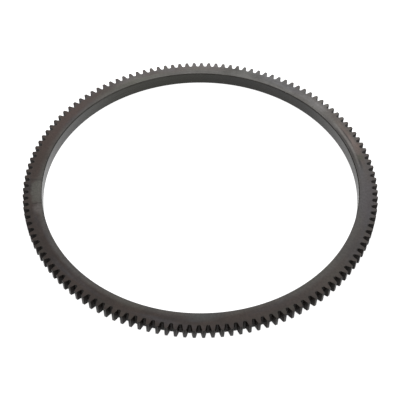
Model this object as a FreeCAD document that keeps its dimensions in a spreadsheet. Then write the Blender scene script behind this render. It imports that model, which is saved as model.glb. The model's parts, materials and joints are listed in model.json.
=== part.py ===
"""Flywheel ring gear: one steel ring with straight involute teeth for the starter pinion.

The ring lies flat. The origin is the middle of its lower face, and +Z is the axis of the bore.
A tooth space is centred on +X. Lengths are in millimetres and angles in degrees.
"""
import FreeCAD, Part
import math
import os
import Sketcher

NODE = "ring_gear"

# Driving sizes. A ratio is a length in modules, as on a gear drawing.
SIZES = {
    "tooth_count": 133,
    "tooth_module": 3.0,
    "pressure_angle": 15.0,
    "addendum_ratio": 1.0,
    "dedendum_ratio": 1.25,
    "backlash_allowance": 0.15,
    "root_sweep": 144.0,
    "rim_wall": 14.75,
    "face_width": 16.0,
    "bore_chamfer": 1.0,
}

# Sizes that follow from the driving ones, as expressions on the sheet.
PITCH_RADIUS = "(Sizes.tooth_module * Sizes.tooth_count / 2)"
TIP_RADIUS = f"({PITCH_RADIUS} + Sizes.addendum_ratio * Sizes.tooth_module)"
ROOT_RADIUS = f"({PITCH_RADIUS} - Sizes.dedendum_ratio * Sizes.tooth_module)"
BORE_RADIUS = f"({ROOT_RADIUS} - Sizes.rim_wall)"
MOUTH_REACH = f"({TIP_RADIUS} + Sizes.tooth_module)"

# Half of a tooth space on the pitch circle: a quarter pitch and its share of the allowance.
HALF_SPACE_ANGLE = (
    f"(90 / Sizes.tooth_count + 90 / pi * Sizes.backlash_allowance / {PITCH_RADIUS})"
)

# Where the involute crosses the pitch circle it has this radius of curvature, about a centre
# on the base circle, one pressure angle further round. The arc keeps within 0.007 of it.
BASE_RADIUS = f"({PITCH_RADIUS} * cos(Sizes.pressure_angle))"
FLANK_RADIUS = f"({PITCH_RADIUS} * sin(Sizes.pressure_angle))"
FLANK_CENTRE_ANGLE = f"({HALF_SPACE_ANGLE} + Sizes.pressure_angle)"

# The points of a sketch curve that a constraint can hold, and the sketch's own references.
START, END, CENTRE = range(1, 4)
X_AXIS = -1
AXIS_POINT = (-1, START)

ORIGIN = FreeCAD.Vector(0, 0, 0)
UP = FreeCAD.Vector(0, 0, 1)


def write_sheet(doc):
    """Each driving size has a cell of its own, with its name as the alias."""
    sheet = doc.addObject("Spreadsheet::Sheet", "Sizes")
    for row, (alias, size) in enumerate(SIZES.items(), start=1):
        sheet.set(f"A{row}", alias)
        sheet.set(f"B{row}", str(size))
        sheet.setAlias(f"B{row}", alias)
    doc.recompute()


def base_feature(body, role):
    """The body's own base plane or axis with this role."""
    return next(f for f in body.Origin.OriginFeatures if f.Role == role)


def sketch_on_lower_face(body, name):
    sketch = body.newObject("Sketcher::SketchObject", name)
    sketch.AttachmentSupport = (base_feature(body, "XY_Plane"), [""])
    sketch.MapMode = "FlatFace"
    return sketch


def dimension(sketch, name, kind, places, expression):
    """A named dimension of the sketch, bound to the sheet."""
    size = sketch.evalExpression(expression)
    if kind == "Angle":
        size = math.radians(size)
    index = sketch.addConstraint(Sketcher.Constraint(kind, *places, size))
    sketch.renameConstraint(index, name)
    sketch.setExpression(f"Constraints.{name}", expression)


def coincide(sketch, place, other):
    sketch.addConstraint(Sketcher.Constraint("Coincident", *place, *other))


def polar(radius, angle):
    """A point of the sketch, from its distance to the axis and its angle from +X."""
    return FreeCAD.Rotation(UP, angle).multVec(FreeCAD.Vector(radius, 0, 0))


def across(point):
    """The same point on the other side of the sketch's X axis."""
    return FreeCAD.Vector(point.x, -point.y, 0)


def arc(centre, start, end):
    """The arc that runs anticlockwise about its centre from start to end."""
    circle = Part.Circle(centre, UP, (start - centre).Length)
    return Part.ArcOfCircle(circle, circle.parameter(start), circle.parameter(end))


def turned_blank(body):
    """The plain ring, as thick as the teeth are wide, from the bore to the tooth tips."""
    sketch = sketch_on_lower_face(body, "BlankOutline")
    outlines = (("tip_radius", TIP_RADIUS), ("bore_radius", BORE_RADIUS))
    for name, expression in outlines:
        circle = Part.Circle(ORIGIN, UP, sketch.evalExpression(expression))
        index = sketch.addGeometry(circle, False)
        coincide(sketch, (index, CENTRE), AXIS_POINT)
        dimension(sketch, name, "Radius", (index,), expression)
    blank = body.newObject("PartDesign::Pad", "Blank")
    blank.Profile = sketch
    blank.setExpression("Length", "Sizes.face_width")
    return blank


def eased_bore(body, blank):
    """A 45 degree chamfer at both ends of the bore."""
    bore_radius = blank.evalExpression(BORE_RADIUS)
    rims = [
        f"Edge{number}"
        for number, edge in enumerate(blank.Shape.Edges, start=1)
        if isinstance(edge.Curve, Part.Circle) and math.isclose(edge.Curve.Radius, bore_radius)
    ]
    chamfer = body.newObject("PartDesign::Chamfer", "BoreChamfer")
    chamfer.Base = (blank, rims)
    chamfer.setExpression("Size", "Sizes.bore_chamfer")
    return chamfer


def tooth_space_sketch(body):
    """The gap between two teeth: two flanks and a round root, closed by a line past the tips."""
    sketch = sketch_on_lower_face(body, "ToothSpaceOutline")
    root_radius = sketch.evalExpression(ROOT_RADIUS)
    flank_radius = sketch.evalExpression(FLANK_RADIUS)
    mouth = sketch.evalExpression(MOUTH_REACH)
    flank_centre = polar(
        sketch.evalExpression(BASE_RADIUS), sketch.evalExpression(FLANK_CENTRE_ANGLE)
    )
    flank_height = math.sqrt(flank_radius**2 - (mouth - flank_centre.x) ** 2)
    flank_end = FreeCAD.Vector(mouth, flank_centre.y - flank_height, 0)

    # The root arc turns through its sweep from one flank to the other, and it touches the root
    # circle half way. So its rounding follows from where the flank meets the chord to its foot.
    bottom = FreeCAD.Vector(root_radius, 0, 0)
    half_sweep = math.radians(sketch.evalExpression("Sizes.root_sweep") / 2)
    chord = FreeCAD.Vector(1 - math.cos(half_sweep), math.sin(half_sweep), 0)
    inset = bottom - flank_centre
    reach = chord.dot(inset)
    beyond = inset.dot(inset) - flank_radius**2
    rounding = (-reach - math.sqrt(reach**2 - chord.dot(chord) * beyond)) / chord.dot(chord)
    root_centre = FreeCAD.Vector(root_radius + rounding, 0, 0)
    foot = bottom + chord * rounding

    root = sketch.addGeometry(arc(root_centre, foot, across(foot)), False)
    left_flank = sketch.addGeometry(arc(flank_centre, foot, flank_end), False)
    right_flank = sketch.addGeometry(
        arc(across(flank_centre), across(flank_end), across(foot)), False
    )
    mouth_line = sketch.addGeometry(Part.LineSegment(flank_end, across(flank_end)), False)
    root_circle = sketch.addGeometry(Part.Circle(ORIGIN, UP, root_radius), True)
    centre_line = sketch.addGeometry(Part.LineSegment(ORIGIN, flank_centre), True)

    coincide(sketch, (root_circle, CENTRE), AXIS_POINT)
    coincide(sketch, (centre_line, START), AXIS_POINT)
    coincide(sketch, (centre_line, END), (left_flank, CENTRE))
    coincide(sketch, (left_flank, END), (mouth_line, START))
    coincide(sketch, (mouth_line, END), (right_flank, START))
    coincide(sketch, (left_flank, START), (root, START))
    coincide(sketch, (right_flank, END), (root, END))
    sketch.addConstraint(Sketcher.Constraint("PointOnObject", root, CENTRE, X_AXIS))
    sketch.addConstraint(Sketcher.Constraint("Tangent", root, root_circle))
    sketch.addConstraint(
        Sketcher.Constraint("Symmetric", left_flank, CENTRE, right_flank, CENTRE, X_AXIS)
    )
    sketch.addConstraint(Sketcher.Constraint("Equal", left_flank, right_flank))
    sketch.addConstraint(Sketcher.Constraint("Vertical", mouth_line))

    dimension(sketch, "root_radius", "Radius", (root_circle,), ROOT_RADIUS)
    dimension(sketch, "root_sweep", "Angle", (root,), "Sizes.root_sweep")
    dimension(sketch, "flank_radius", "Radius", (left_flank,), FLANK_RADIUS)
    dimension(sketch, "base_radius", "Distance", (centre_line,), BASE_RADIUS)
    dimension(sketch, "flank_centre_angle", "Angle", (centre_line,), FLANK_CENTRE_ANGLE)
    dimension(sketch, "mouth_reach", "DistanceX", (mouth_line, START), MOUTH_REACH)
    return sketch


def hobbed_teeth(body):
    """One tooth space cut through the rim, and repeated all the way round."""
    space = body.newObject("PartDesign::Pocket", "ToothSpace")
    space.Profile = tooth_space_sketch(body)
    space.Type = "ThroughAll"
    space.Reversed = True
    teeth = body.newObject("PartDesign::PolarPattern", "Teeth")
    teeth.Originals = [space]
    teeth.Axis = (base_feature(body, "Z_Axis"), [""])
    teeth.Angle = 360
    teeth.setExpression("Occurrences", "Sizes.tooth_count")
    body.Tip = teeth
    return space, teeth


def ring_gear(doc):
    body = doc.addObject("PartDesign::Body", "RingGear")
    body.Label = NODE
    body.Placement = FreeCAD.Placement()
    blank = turned_blank(body)
    doc.recompute()
    eased_blank = eased_bore(body, blank)
    space, teeth = hobbed_teeth(body)
    doc.recompute()
    return body, eased_blank, space, teeth


def check(doc, body, blank, space, teeth):
    """Nothing failed, and every tooth space took out as much steel as the first."""
    for item in doc.Objects:
        if {"Invalid", "Error"} & set(item.State):
            raise RuntimeError(f"{item.Name} is {item.State}")
    if body.Shape.isNull() or not body.Shape.isValid() or len(body.Shape.Solids) != 1:
        raise RuntimeError(f"{body.Label} is not one valid solid")
    one_space = blank.Shape.Volume - space.Shape.Volume
    all_spaces = blank.Shape.Volume - teeth.Shape.Volume
    if not math.isclose(all_spaces, one_space * SIZES["tooth_count"], rel_tol=1e-6):
        raise RuntimeError("the tooth spaces are not all cut")


def main():
    doc = FreeCAD.newDocument("FlywheelRingGear")
    write_sheet(doc)
    body, blank, space, teeth = ring_gear(doc)
    check(doc, body, blank, space, teeth)
    os.makedirs("parts", exist_ok=True)
    body.Shape.exportStep(f"parts/{NODE}.step")


main()
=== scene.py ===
"""Flywheel ring gear: a toothed steel ring with a dark, heat tinted skin, on a white floor.

Lengths are in metres and angles in radians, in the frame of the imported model: the ring lies flat,
its lower face is at z = 0, and a tooth space is centred on +X.
"""

import json
from math import acos, atan2, cos, hypot, pi, radians, sin

import bmesh
import bpy
from mathutils import Matrix, Vector


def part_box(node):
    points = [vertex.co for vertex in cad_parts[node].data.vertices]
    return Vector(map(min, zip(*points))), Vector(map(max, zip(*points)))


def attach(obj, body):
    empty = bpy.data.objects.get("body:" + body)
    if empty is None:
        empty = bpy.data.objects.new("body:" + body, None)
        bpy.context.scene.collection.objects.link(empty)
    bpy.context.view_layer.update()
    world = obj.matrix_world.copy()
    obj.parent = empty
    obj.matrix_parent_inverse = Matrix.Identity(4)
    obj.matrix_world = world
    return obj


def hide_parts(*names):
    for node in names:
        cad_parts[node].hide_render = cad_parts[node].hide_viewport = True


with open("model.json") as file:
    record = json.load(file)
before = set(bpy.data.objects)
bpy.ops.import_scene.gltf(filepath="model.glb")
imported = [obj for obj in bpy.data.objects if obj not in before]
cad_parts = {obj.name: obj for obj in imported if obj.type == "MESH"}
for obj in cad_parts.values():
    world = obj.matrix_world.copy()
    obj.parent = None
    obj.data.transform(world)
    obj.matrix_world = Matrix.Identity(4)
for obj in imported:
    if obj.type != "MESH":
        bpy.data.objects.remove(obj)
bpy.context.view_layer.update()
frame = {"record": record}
bpy.ops.object.select_all(action="DESELECT")

MM = 0.001
NODE = "ring_gear"
MOUNTS = {mount["name"]: mount["dims"] for mount in frame["record"]["mounts"]}

# The turned blank, as the frame has it.
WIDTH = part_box(NODE)[1].z
BORE_RADIUS = MOUNTS["bore"]["r_mm"] * MM
BORE_CHAMFER = (WIDTH - MOUNTS["bore"]["length_mm"] * MM) / 2

# The hobbed teeth.
TOOTH_COUNT = 133
PRESSURE_ANGLE = radians(15)
BACKLASH_ALLOWANCE = 0.15 * MM
PITCH_RADIUS = MOUNTS["teeth"]["pcd_mm"] * MM / 2
MODULE = 2 * PITCH_RADIUS / TOOTH_COUNT
TIP_RADIUS = PITCH_RADIUS + MODULE
DEDENDUM = 1.25 * MODULE
ROOT_RADIUS = PITCH_RADIUS - DEDENDUM
HALF_PITCH = pi / TOOTH_COUNT

# The lead-in bevel at the teeth's lower ends: its height, how much it takes off a tooth's flank,
# and how far the teeth still reach at the very bottom.
LEAD_IN = 2.0 * MM
LEAD_IN_ANGLE = 2.1 * MM / PITCH_RADIUS
LEAD_IN_TIP_RADIUS = PITCH_RADIUS

# Broken edges, and how finely the round shapes are drawn.
TOOTH_EDGE = 0.25 * MM
BORE_EDGE = 0.12 * MM
ROOT_STEPS = 6
FLANK_STEPS = 7
TIP_STEPS = 2
BORE_STEPS = 2
MERGE_DISTANCE = 0.01 * MM
MERGE_ANGLE = 1e-5

# How sharp the edges are that a bevel takes, and the bend up to which shading stays smooth.
OUTLINE_BEND = 1.0
TIP_CORNER_BEND = 0.5
CHAMFER_BEND = 0.6
SMOOTH_BEND = radians(35)

# How a face's normal leans: its part along the axis, and its part away from the axis.
UP_IF_FLAT = 0.97
UP_IF_BROKEN = 0.2
OUT_ON_TIP = 0.9
OUT_ON_TIP_CORNER = (0.3, 0.95)

# The camera, and the studio.
CAMERA_DISTANCE = 1.00165
CAMERA_ELEVATION = radians(48.92)
CAMERA_TURN = radians(1.002)
CAMERA_ROLL = radians(0.09)
AIM_RIGHT = -0.375 * MM
AIM_UP = -13.72 * MM
LENS = 77.49
SENSOR_WIDTH = 36
FLOOR_SIZE = 8.0
FLOOR_DROP = 0.02 * MM
FLOOR_GLOW = 0.95
SKY_LIGHT = 0.35
SKY_REFLECTED = 0.5
SKY_SEEN = 1.0
SOFTBOX_PLACE = (0.10, 0.95, 0.75)
SOFTBOX_SIZE = 0.6
SOFTBOX_POWER = 6.4

# Marks on the upper and lower faces, as azimuth in degrees, radius, length around the ring and
# width across it in millimetres, how far the edge fades, how strong it is, and its colour. A few of
# them are painted shade, as their notes say.
OLIVE, RUST, VIOLET, PALE, SOOT = (
    (0.062, 0.064, 0.045, 1),
    (0.062, 0.039, 0.030, 1),
    (0.074, 0.067, 0.076, 1),
    (0.150, 0.138, 0.128, 1),
    (0.022, 0.018, 0.016, 1),
)
MARKS = (
    (186.8, 187, 37, 12, 0.4, 0.7, (0.140, 0.138, 0.120, 1)),  # weld, rubbed clean
    (168, 191, 70, 18, 0.6, 0.6, RUST),  # rust beside the weld
    (150, 192, 90, 13, 0.7, 0.75, (0.075, 0.046, 0.038, 1)),  # rust further on
    (181.4, 188, 3.0, 26, 0.8, 0.4, SOOT),  # scale on one side of the weld
    (192.3, 186, 1.2, 13, 0.6, 0.8, SOOT),  # scale on its other side
    (194.8, 186, 14, 10, 0.5, 0.7, (0.155, 0.137, 0.130, 1)),  # rubbed spot past the weld
    (226, 184.5, 190, 5, 0.9, 0.4, PALE),  # paler band along the inner edge
    (16.6, 195, 11, 6, 0.6, 0.8, (0.105, 0.068, 0.055, 1)),  # rust spot
    (9.4, 188.4, 24, 3.2, 0.7, 0.9, SOOT),  # jagged scale line
    (20, 191, 62, 7, 0.7, 0.8, (0.125, 0.090, 0.078, 1)),  # rust streak
    (22, 188.8, 30, 1.8, 0.7, 0.8, SOOT),  # jagged line by the rust
    (20, 186.4, 70, 2.8, 0.6, 0.8, PALE),  # rubbed streak
    (11.4, 191, 9, 7, 0.6, 0.7, OLIVE),  # oil spot
    (-7.8, 189, 72, 20, 0.6, 0.6, VIOLET),  # blued zone
    (19, 183.3, 96, 2.8, 0.8, 0.9, SOOT),  # painted shade: the dark line along the chamfer on the right, where the chamfer lies in shade
    (33, 184, 40, 5, 0.7, 0.5, (0.045, 0.040, 0.036, 1)),  # dark stain
    (62, 193, 110, 16, 0.8, 0.6, (0.052, 0.055, 0.062, 1)),  # blued zone at the back
    (45, 190.5, 44, 9, 0.8, 0.7, (0.125, 0.118, 0.116, 1)),  # rubbed patch at the back
    (75, 190, 44, 18, 0.7, 0.8, (0.026, 0.025, 0.019, 1)),  # oil stain, darkened further as painted shade to dull the softbox's highlight at the back
    (84, 184.5, 190, 8, 0.8, 0.7, (0.044, 0.042, 0.037, 1)),  # darker band along the back chamfer, partly a stain and partly painted shade that dulls the softbox's highlight
    (120, 191, 34, 8, 0.8, 0.6, (0.115, 0.106, 0.100, 1)),  # rubbed patch by the olive streak
    (118, 186, 60, 7, 0.7, 0.6, OLIVE),  # olive streak
    (262, 191, 22, 5, 0.8, 0.5, SOOT),  # scale spot at the front
    (272, 186, 30, 9, 0.8, 0.6, (0.082, 0.087, 0.085, 1)),  # grey spot at the front
    (290, 190, 50, 9, 0.8, 0.5, (0.056, 0.040, 0.034, 1)),  # brown spot at the front
)

# Zones of the bore's wall that shine more or less than the rest, as azimuth in degrees, length
# around the ring in millimetres, and how much they shine. A patch of the wall reaches from one
# face to the other, because its width counts across the radius.
BORE_SHINE = 0.45
BORE_PATCH_WIDTH = 50 * MM
BORE_ZONES = (
    (2, 76, 0.14),  # oil film at the right
    (27, 60, 0.56),  # clean wall past it
    (86, 240, 0.36),  # dull wall at the back
    (154, 104, 0.62),  # clean wall at the left
)

AXIS = Vector((0, 0, 1))
CENTRE = Vector((0, 0, 0))

# Where the hardening heat went deepest into the face. The face is also darkened towards this side,
# the front left away from the softbox, as painted shade.
HEAT_AND_SHADE_SIDE = radians(215)


def polar(radius, angle, height=0.0):
    """A point from its distance to the axis and its angle from +X."""
    return Vector((radius * cos(angle), radius * sin(angle), height))


def heading(start, end):
    """The direction from one point to another, as an angle from +X."""
    return atan2(end.y - start.y, end.x - start.x)


def edit(thing):
    """Opens one object in edit mode, with nothing else selected."""
    bpy.ops.object.select_all(action="DESELECT")
    thing.select_set(True)
    bpy.context.view_layer.objects.active = thing
    bpy.ops.object.mode_set(mode="EDIT")


def finish_editing():
    bpy.ops.object.mode_set(mode="OBJECT")


def pick(thing, kind, wanted):
    """In edit mode, selects only the edges or faces that wanted says yes to."""
    bpy.ops.mesh.select_mode(type=kind)
    bpy.ops.mesh.select_all(action="DESELECT")
    mesh = bmesh.from_edit_mesh(thing.data)
    for element in mesh.edges if kind == "EDGE" else mesh.faces:
        if wanted(element):
            element.select_set(True)
    bmesh.update_edit_mesh(thing.data)


def corners(element):
    """Each corner of an edge or face as its radius, angle and height."""
    return [(hypot(v.co.x, v.co.y), atan2(v.co.y, v.co.x), v.co.z) for v in element.verts]


def sweep(angle, centre, steps):
    """Draws an arc on from the selected vertex, anticlockwise where the angle is positive."""
    bpy.ops.mesh.spin(steps=steps, angle=-angle, center=centre, axis=AXIS)


def draw_half_pitch(height, tip_radius, turned=0.0):
    """From the bottom of a tooth space, over the flank and the tip, and down to the bore.

    The flank can be turned on towards the middle of its tooth, which makes the space wider.
    """
    half_space = HALF_PITCH / 2 + BACKLASH_ALLOWANCE / 2 / PITCH_RADIUS
    base_radius = PITCH_RADIUS * cos(PRESSURE_ANGLE)
    flank_radius = PITCH_RADIUS * sin(PRESSURE_ANGLE)
    flank_centre = polar(base_radius, half_space + PRESSURE_ANGLE)

    # The root arc touches the root circle and the flank.
    offset = ROOT_RADIUS - flank_centre.x
    rounding = (offset**2 + flank_centre.y**2 - flank_radius**2) / (2 * (flank_radius - offset))
    root_centre = polar(ROOT_RADIUS + rounding, turned)
    flank_centre.rotate(Matrix.Rotation(turned, 3, "Z"))
    foot = heading(flank_centre, root_centre)

    # The flank ends where its circle crosses the tips'.
    crossing = base_radius**2 + flank_radius**2 - tip_radius**2
    opening = acos(crossing / (2 * base_radius * flank_radius))
    crest = heading(flank_centre, CENTRE) + opening
    tip = flank_centre + polar(flank_radius, crest)

    bpy.ops.mesh.primitive_plane_add(size=MODULE, location=CENTRE)
    bpy.ops.mesh.merge(type="CENTER")
    bpy.ops.transform.translate(value=polar(ROOT_RADIUS, 0, height))
    if turned:
        sweep(turned, CENTRE, 1)
        sweep(foot - turned, root_centre, ROOT_STEPS - 1)
    else:
        sweep(foot, root_centre, ROOT_STEPS)
    sweep(crest - foot, flank_centre, FLANK_STEPS)
    sweep(HALF_PITCH - heading(CENTRE, tip), CENTRE, TIP_STEPS)
    inwards = polar(BORE_RADIUS - tip_radius, HALF_PITCH)
    bpy.ops.mesh.extrude_region_move(TRANSFORM_OT_translate={"value": inwards})
    sweep(-HALF_PITCH, CENTRE, BORE_STEPS)


def at_height(height):
    """Says yes to an edge or face that lies wholly at this height."""
    return lambda element: all(near(z, height) for _, _, z in corners(element))


def ends_the_pitch(face):
    """True for a face in one of the two planes where one pitch borders on the next."""
    return all(abs(abs(angle) - HALF_PITCH) < MERGE_ANGLE for _, angle, _ in corners(face))


def tooth_space():
    """One pitch of the ring, from the middle of a tooth to the middle of the next."""
    bpy.ops.mesh.primitive_plane_add(size=MODULE, location=CENTRE)
    ring = bpy.context.active_object
    ring.name = ring.data.name = "finished_ring_gear"
    edit(ring)
    bpy.ops.mesh.delete(type="VERT")
    draw_half_pitch(0, LEAD_IN_TIP_RADIUS, LEAD_IN_ANGLE)
    draw_half_pitch(LEAD_IN, TIP_RADIUS)
    finish_editing()

    mirror = ring.modifiers.new("other flank", "MIRROR")
    mirror.use_axis = (False, True, False)
    mirror.merge_threshold = MERGE_DISTANCE
    bpy.ops.object.modifier_apply(modifier=mirror.name)

    edit(ring)
    bpy.ops.mesh.select_all(action="SELECT")
    bpy.ops.mesh.bridge_edge_loops()
    pick(ring, "EDGE", at_height(0))
    bpy.ops.mesh.edge_face_add()
    pick(ring, "EDGE", at_height(LEAD_IN))
    bpy.ops.mesh.extrude_edges_move(TRANSFORM_OT_translate={"value": (WIDTH - LEAD_IN) * AXIS})
    bpy.ops.mesh.edge_face_add()
    pick(ring, "FACE", ends_the_pitch)
    bpy.ops.mesh.delete(type="FACE")
    return ring


def repeat_round(ring):
    """Copies the pitch all the way round and joins the copies into one closed ring."""
    bpy.ops.mesh.select_all(action="SELECT")
    copies = TOOTH_COUNT - 1
    turn = 2 * pi * copies / TOOTH_COUNT
    bpy.ops.mesh.spin(steps=copies, angle=turn, dupli=True, center=CENTRE, axis=AXIS)
    bpy.ops.mesh.select_all(action="SELECT")
    bpy.ops.mesh.remove_doubles(threshold=MERGE_DISTANCE)
    bpy.ops.mesh.normals_make_consistent(inside=False)


def near(value, target):
    return abs(value - target) < MERGE_DISTANCE


def level(points):
    """True for an edge that lies in the upper or the lower face."""
    return all(near(z, 0) for _, _, z in points) or all(near(z, WIDTH) for _, _, z in points)


def bore_rim(edge):
    points = corners(edge)
    return level(points) and all(near(r, BORE_RADIUS) for r, _, _ in points)


def tooth_outline(edge):
    points = corners(edge)
    if not level(points) or len(edge.link_faces) != 2:
        return False
    return edge.calc_face_angle() > OUTLINE_BEND and points[0][0] > ROOT_RADIUS - MODULE


def tip_corner(edge):
    points = corners(edge)
    upright = all(near(r, TIP_RADIUS) for r, _, _ in points) and not level(points)
    return upright and edge.calc_face_angle() > TIP_CORNER_BEND


def chamfer_edge(edge):
    reach = max(r for r, _, _ in corners(edge))
    inside = reach < BORE_RADIUS + BORE_CHAMFER + MERGE_DISTANCE
    return inside and edge.calc_face_angle() > CHAMFER_BEND


def break_edges(ring):
    """The bore's chamfers, and the fine rounding that deburring leaves on the teeth."""
    pick(ring, "EDGE", bore_rim)
    bpy.ops.mesh.bevel(offset=BORE_CHAMFER, segments=1)
    pick(ring, "EDGE", lambda edge: tooth_outline(edge) or tip_corner(edge))
    bpy.ops.mesh.bevel(offset=TOOTH_EDGE, segments=2)
    pick(ring, "EDGE", chamfer_edge)
    bpy.ops.mesh.bevel(offset=BORE_EDGE, segments=1)
    pick(ring, "EDGE", at_height(LEAD_IN))
    bpy.ops.mesh.mark_sharp()


def weigh_normals(ring):
    """Lets the large flat faces set the shading, so that the fine edges round it off evenly."""
    bpy.ops.object.shade_smooth_by_angle(angle=SMOOTH_BEND)
    smoothing = ring.modifiers.new("even shading", "WEIGHTED_NORMAL")
    smoothing.keep_sharp = True
    bpy.ops.object.modifier_apply(modifier=smoothing.name)


def lies_flat(face):
    return abs(face.normal.z) > UP_IF_FLAT


def bore_side(face):
    centre = face.calc_center_median()
    return hypot(centre.x, centre.y) < BORE_RADIUS + BORE_CHAMFER and not lies_flat(face)


def outwards(face):
    """How far a face looks away from the axis: 1 on the tips, and near 0 on the flanks."""
    centre = face.calc_center_median()
    return face.normal.dot(Vector((centre.x, centre.y, 0)).normalized())


def tip_land(face):
    at_tip = all(near(r, TIP_RADIUS) for r, _, _ in corners(face))
    return at_tip and outwards(face) > OUT_ON_TIP


def broken_edge(face):
    if bore_side(face) or lies_flat(face):
        return False
    near_tip = min(r for r, _, _ in corners(face)) > TIP_RADIUS - TOOTH_EDGE
    low, high = OUT_ON_TIP_CORNER
    tip_corner_face = near_tip and low < outwards(face) < high
    return abs(face.normal.z) > UP_IF_BROKEN or tip_corner_face


def tooth_gap(face):
    return not (lies_flat(face) or bore_side(face) or tip_land(face) or broken_edge(face))


def dress(ring):
    """Gives every part of the surface the finish that its machining left."""
    finishes = (
        (turned_face(), lies_flat),
        (turned_bore(), bore_side),
        (turned_tip(), tip_land),
        (hobbed_gap_painted_shade(), tooth_gap),
        (rubbed_edge(), broken_edge),
    )
    edit(ring)
    for number, (material, wanted) in enumerate(finishes):
        ring.data.materials.append(material)
        ring.active_material_index = number
        pick(ring, "FACE", wanted)
        bpy.ops.object.material_slot_assign()
    finish_editing()


def make_ring_gear():
    ring = tooth_space()
    repeat_round(ring)
    break_edges(ring)
    finish_editing()
    weigh_normals(ring)
    dress(ring)
    return ring


class Finish:
    """A steel surface in the making: its nodes, and short ways to add to them."""

    def __init__(self, name):
        self.material = bpy.data.materials.new(name)
        self.material.use_nodes = True
        self.tree = self.material.node_tree
        self.shader = self.tree.nodes["Principled BSDF"]
        where = self.add("TexCoord").outputs["Object"]
        self.point = where
        self.x, self.y, self.height = self.add("SeparateXYZ", {"Vector": where}).outputs
        flat = self.add("CombineXYZ", {"X": self.x, "Y": self.y}).outputs[0]
        self.radius = self.add("VectorMath", {0: flat}, operation="LENGTH").outputs["Value"]
        self.direction = self.add("VectorMath", {0: flat}, operation="NORMALIZE").outputs[0]

    def add(self, kind, inputs=None, **settings):
        """A node, with values or other nodes' outputs put into its inputs."""
        node = self.tree.nodes.new("ShaderNode" + kind)
        for name, value in settings.items():
            setattr(node, name, value)
        for name, value in (inputs or {}).items():
            self.put(value, node.inputs[name])
        return node

    def put(self, value, socket):
        if isinstance(value, bpy.types.NodeSocket):
            self.tree.links.new(value, socket)
        else:
            socket.default_value = value

    def calc(self, operation, *values):
        return self.add("Math", dict(enumerate(values)), operation=operation).outputs[0]

    def ramp(self, value, low, high, start=0.0, end=1.0):
        """Rises smoothly from start to end while the value goes from low to high."""
        span = {"Value": value, "From Min": low, "From Max": high}
        inputs = {**span, "To Min": start, "To Max": end}
        return self.add("MapRange", inputs, interpolation_type="SMOOTHSTEP").outputs["Result"]

    def blend(self, amount, first, second, mode="MIX"):
        mix = self.add("Mix", data_type="RGBA", blend_type=mode, clamp_factor=True)
        factor, first_colour, second_colour = (mix.inputs[number] for number in (0, 6, 7))
        self.put(amount, factor)
        self.put(first, first_colour)
        self.put(second, second_colour)
        return mix.outputs[2]

    def noise(self, vector, scale=1.0, detail=3.0, roughness=0.5):
        inputs = {"Vector": vector, "Scale": scale, "Detail": detail, "Roughness": roughness}
        return self.add("TexNoise", inputs).outputs["Fac"]

    def along(self, length, across, width, start=0.0):
        """A texture's place, for spots this long around the ring and this wide across it."""
        round_it = {0: self.direction, "Scale": TIP_RADIUS / length}
        spots = self.add("VectorMath", round_it, operation="SCALE").outputs[0]
        rows = self.calc("DIVIDE", across, width)
        offset = self.add("CombineXYZ", {"X": start, "Y": start, "Z": rows}).outputs[0]
        return self.add("VectorMath", {0: spots, 1: offset}, operation="ADD").outputs[0]

    def patch(self, azimuth, radius, length, width, soft):
        """1 inside a ragged patch of the flat face, and 0 outside it."""
        towards = {0: self.direction, 1: polar(1, azimuth)}
        away = self.add("VectorMath", towards, operation="DISTANCE")
        around = self.calc("DIVIDE", away.outputs["Value"], length / 2 / radius)
        across = self.calc("DIVIDE", self.calc("SUBTRACT", self.radius, radius), width / 2)
        outline = self.add("CombineXYZ", {"X": around, "Y": across}).outputs[0]
        reach = self.add("VectorMath", {0: outline}, operation="LENGTH").outputs["Value"]
        ragged = self.noise(self.point, 1 / (6 * MM), 4.0, 0.65)
        return self.ramp(self.calc("ADD", reach, ragged), 1.5 - soft, 1.5 + soft, 1.0, 0.0)

    def bump(self, height, distance, strength=1.0):
        inputs = {"Height": height, "Distance": distance, "Strength": strength}
        if self.shader.inputs["Normal"].is_linked:
            inputs["Normal"] = self.shader.inputs["Normal"].links[0].from_socket
        self.put(self.add("Bump", inputs).outputs[0], self.shader.inputs["Normal"])

    def finish(self, colour, roughness, metal, shine=0.5):
        """Puts the colour and the gloss on, and hands the material over."""
        for name, value in (
            ("Base Color", colour),
            ("Roughness", roughness),
            ("Metallic", metal),
            ("Specular IOR Level", shine),
        ):
            self.put(value, self.shader.inputs[name])
        return self.material


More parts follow.
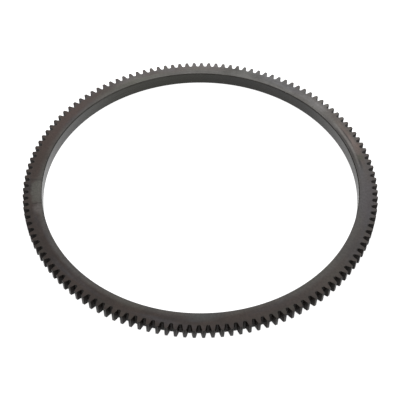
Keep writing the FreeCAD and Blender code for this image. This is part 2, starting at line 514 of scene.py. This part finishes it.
def turned_face():
    """The flat faces: turned, and tinted brown towards the teeth by the hardening heat. The tint
    grows deeper and wider towards the front left, partly as painted shade.
    """
    steel = Finish("turned_face")
    wobble = steel.noise(steel.point, 1 / (30 * MM), 3.0)
    edge_of_heat = steel.calc("ADD", steel.radius, steel.calc("MULTIPLY", wobble, 9 * MM))
    # Painted shade on top of the real heat tint: the brown reaches further in and grows stronger
    # towards the front left side, away from the softbox.
    towards = {0: steel.direction, 1: polar(1, HEAT_AND_SHADE_SIDE)}
    towards_heat_and_shade = steel.add("VectorMath", towards, operation="DOT_PRODUCT")
    depth = steel.ramp(towards_heat_and_shade.outputs["Value"], -0.6, 0.6, 0.0, 3 * MM)
    heat = steel.ramp(steel.calc("ADD", edge_of_heat, depth), 190 * MM, 197 * MM)
    strength = steel.ramp(towards_heat_and_shade.outputs["Value"], -0.8, 0.4, 0.45, 1.0)
    heat_tint_and_shade = steel.calc("MULTIPLY", heat, strength)
    colour = steel.blend(heat_tint_and_shade, (0.083, 0.075, 0.068, 1), (0.049, 0.034, 0.028, 1))

    cloud = steel.noise(steel.point, 1 / (22 * MM), 4.0, 0.6)
    tint = steel.noise(steel.along(60 * MM, steel.radius, 9 * MM, 3.0), 1.0, 3.0)
    colour = steel.blend(steel.ramp(tint, 0.5, 0.75, 0.0, 0.55), colour, (0.060, 0.058, 0.066, 1))
    colour = steel.blend(steel.ramp(tint, 0.5, 0.28, 0.0, 0.5), colour, (0.066, 0.066, 0.052, 1))
    colour = steel.blend(1.0, colour, steel.ramp(cloud, 0.3, 0.7, 0.72, 1.28), "MULTIPLY")

    for azimuth, radius, length, width, soft, strength, stain in MARKS:
        mark = steel.patch(radians(azimuth), radius * MM, length * MM, width * MM, soft)
        colour = steel.blend(steel.calc("MULTIPLY", mark, strength), colour, stain)

    grain = steel.noise(steel.point, 1 / (2.6 * MM), 4.0, 0.7)
    colour = steel.blend(1.0, colour, steel.ramp(grain, 0.3, 0.7, 0.82, 1.18), "MULTIPLY")
    lay = steel.noise(steel.along(28 * MM, steel.radius, 0.45 * MM, 11.0), 1.0, 2.0)
    colour = steel.blend(1.0, colour, steel.ramp(lay, 0.3, 0.7, 0.9, 1.1), "MULTIPLY")
    cloudy = steel.ramp(cloud, 0.3, 0.7, 0.44, 0.56)
    roughness = steel.calc("ADD", cloudy, steel.ramp(lay, 0.3, 0.7, -0.05, 0.05))
    steel.bump(lay, 0.006 * MM)
    steel.bump(grain, 0.02 * MM)
    return steel.finish(colour, roughness, 0.35)


def turned_bore():
    """The bore and its chamfers: turned last, and smooth enough to mirror the bench."""
    steel = Finish("turned_bore")
    lay = steel.noise(steel.along(60 * MM, steel.height, 0.35 * MM, 5.0), 1.0, 2.0)
    cloud = steel.noise(steel.point, 1 / (12 * MM), 4.0, 0.6)
    cloudy = steel.ramp(cloud, 0.35, 0.7)
    colour = steel.blend(cloudy, (0.012, 0.0115, 0.010, 1), (0.024, 0.020, 0.015, 1))
    olive = steel.patch(radians(112), BORE_RADIUS, 150 * MM, BORE_PATCH_WIDTH, 0.8)
    colour = steel.blend(olive, colour, (0.024, 0.023, 0.012, 1))

    from_middle = steel.calc("ABSOLUTE", steel.calc("SUBTRACT", steel.height, WIDTH / 2))
    straight = WIDTH / 2 - BORE_CHAMFER
    chamfer = steel.ramp(from_middle, straight, straight + 0.1 * MM)
    skin = steel.ramp(steel.noise(steel.point, 1 / (18 * MM), 4.0, 0.65), 0.35, 0.6, 0.35, 1.0)
    back = steel.ramp(steel.y, 0.06, 0.16, 0.25, 1.0)
    weld = steel.patch(radians(188.5), BORE_RADIUS, 44 * MM, BORE_PATCH_WIDTH, 0.5)
    thin = steel.calc("MAXIMUM", steel.calc("MULTIPLY", skin, back), weld)
    lighter = steel.calc("MULTIPLY", chamfer, thin)
    colour = steel.blend(lighter, colour, (0.085, 0.080, 0.072, 1))
    roughness = steel.ramp(lay, 0.3, 0.7, 0.24, 0.36)
    steel.bump(lay, 0.004 * MM)
    shine = BORE_SHINE
    for azimuth, length, gloss in BORE_ZONES:
        zone = steel.patch(radians(azimuth), BORE_RADIUS, length * MM, BORE_PATCH_WIDTH, 0.9)
        shine = steel.calc("MULTIPLY_ADD", zone, gloss - BORE_SHINE, shine)
    return steel.finish(colour, roughness, 0.0, shine)


def turned_tip():
    """The tips' lands, left over from the turned blank, with a skin that darkens upwards."""
    steel = Finish("turned_tip")
    lay = steel.noise(steel.along(20 * MM, steel.height, 0.5 * MM, 2.0), 1.0, 2.0)
    cloud = steel.noise(steel.point, 1 / (6 * MM), 4.0, 0.6)
    cloudy = steel.ramp(cloud, 0.35, 0.7)
    colour = steel.blend(cloudy, (0.011, 0.009, 0.008, 1), (0.024, 0.020, 0.018, 1))
    roughness = steel.ramp(lay, 0.3, 0.7, 0.36, 0.48)
    steel.bump(lay, 0.006 * MM)
    shine = steel.ramp(steel.height, 0.1 * WIDTH, 0.95 * WIDTH, 0.45, 0.08)
    return steel.finish(colour, roughness, 0.0, shine)


def hobbed_gap_painted_shade():
    """The flanks and the roots: a hob's feed marks across each tooth, under a dark skin, their
    colour darkened further as painted shade for the shade between the teeth.
    """
    steel = Finish("hobbed_gap_painted_shade")
    lay = steel.noise(steel.along(5 * MM, steel.height, 1.3 * MM, 8.0), 1.0, 2.0)
    cloud = steel.noise(steel.point, 1 / (4 * MM), 4.0, 0.6)
    cloudy = steel.ramp(cloud, 0.35, 0.7)
    # Painted shade: these colours are far darker than the skin alone, for the shade that falls deep
    # in the tooth spaces.
    colour = steel.blend(cloudy, (0.0075, 0.0046, 0.0034, 1), (0.016, 0.0105, 0.008, 1))
    roughness = steel.ramp(cloud, 0.3, 0.7, 0.5, 0.65)
    steel.bump(lay, 0.02 * MM)
    return steel.finish(colour, roughness, 0.0, 0.16)


def rubbed_edge():
    """Deburred edges, where handling has rubbed the skin thin."""
    steel = Finish("rubbed_edge")
    worn = steel.ramp(steel.noise(steel.point, 1 / (3 * MM), 4.0, 0.65), 0.45, 0.7)
    colour = steel.blend(worn, (0.030, 0.025, 0.022, 1), (0.11, 0.10, 0.092, 1))
    roughness = steel.ramp(worn, 0, 1, 0.45, 0.34)
    metal = steel.ramp(worn, 0, 1, 0.2, 0.7)
    return steel.finish(colour, roughness, metal)


def by_ray(tree, lighting, reflected, seen):
    """One strength for the light that a surface gives, others for its reflection and sight."""
    path = tree.nodes.new("ShaderNodeLightPath")
    total = tree.nodes.new("ShaderNodeValue").outputs[0]
    total.default_value = lighting
    for ray, strength in (("Is Glossy Ray", reflected), ("Is Camera Ray", seen)):
        step = tree.nodes.new("ShaderNodeMath")
        step.operation = "MULTIPLY_ADD"
        tree.links.new(path.outputs[ray], step.inputs[0])
        step.inputs[1].default_value = strength - lighting
        tree.links.new(total, step.inputs[2])
        total = step.outputs[0]
    return total


def add_floor():
    bpy.ops.mesh.primitive_plane_add(size=FLOOR_SIZE, location=-FLOOR_DROP * AXIS)
    floor = bpy.context.active_object
    floor.name = "studio_floor"
    material = bpy.data.materials.new("white_floor")
    material.use_nodes = True
    nodes, links = material.node_tree.nodes, material.node_tree.links
    nodes.remove(nodes["Principled BSDF"])
    paper = nodes.new("ShaderNodeBsdfDiffuse")
    paper.inputs["Color"].default_value = (0.8, 0.8, 0.8, 1)
    glow = nodes.new("ShaderNodeEmission")
    links.new(by_ray(material.node_tree, 0.0, FLOOR_GLOW, FLOOR_GLOW), glow.inputs["Strength"])
    both = nodes.new("ShaderNodeAddShader")
    links.new(paper.outputs[0], both.inputs[0])
    links.new(glow.outputs[0], both.inputs[1])
    links.new(both.outputs[0], nodes["Material Output"].inputs["Surface"])
    floor.data.materials.append(material)


def light_the_studio():
    world = bpy.data.worlds.new("white_studio")
    bpy.context.scene.world = world
    world.use_nodes = True
    sky = world.node_tree.nodes["Background"]
    sky.inputs["Color"].default_value = (1, 1, 1, 1)
    strength = by_ray(world.node_tree, SKY_LIGHT, SKY_REFLECTED, SKY_SEEN)
    world.node_tree.links.new(strength, sky.inputs["Strength"])

    bpy.ops.object.light_add(type="AREA", location=SOFTBOX_PLACE)
    softbox = bpy.context.active_object
    softbox.name = "softbox"
    softbox.data.size = SOFTBOX_SIZE
    softbox.data.energy = SOFTBOX_POWER
    softbox.rotation_euler = (CENTRE - softbox.location).to_track_quat("-Z", "Y").to_euler()


def place_camera():
    azimuth = CAMERA_TURN - pi / 2
    back = polar(cos(CAMERA_ELEVATION), azimuth, sin(CAMERA_ELEVATION))
    right = polar(1, azimuth + pi / 2)
    up = back.cross(right)
    target = AIM_RIGHT * right + AIM_UP * up
    location = CAMERA_DISTANCE * back
    bpy.ops.object.camera_add(location=location)
    camera = bpy.context.active_object
    camera.name = "camera"
    look = (target - location).to_track_quat("-Z", "Y").to_matrix().to_4x4()
    roll = Matrix.Rotation(CAMERA_ROLL, 4, "Z")
    camera.matrix_world = Matrix.Translation(location) @ look @ roll
    camera.data.lens = LENS
    camera.data.sensor_width = SENSOR_WIDTH
    bpy.context.scene.camera = camera


ring = make_ring_gear()
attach(ring, "root")
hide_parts(NODE)
add_floor()
light_the_studio()
place_camera()

scene = bpy.context.scene
scene.view_settings.view_transform = "Standard"
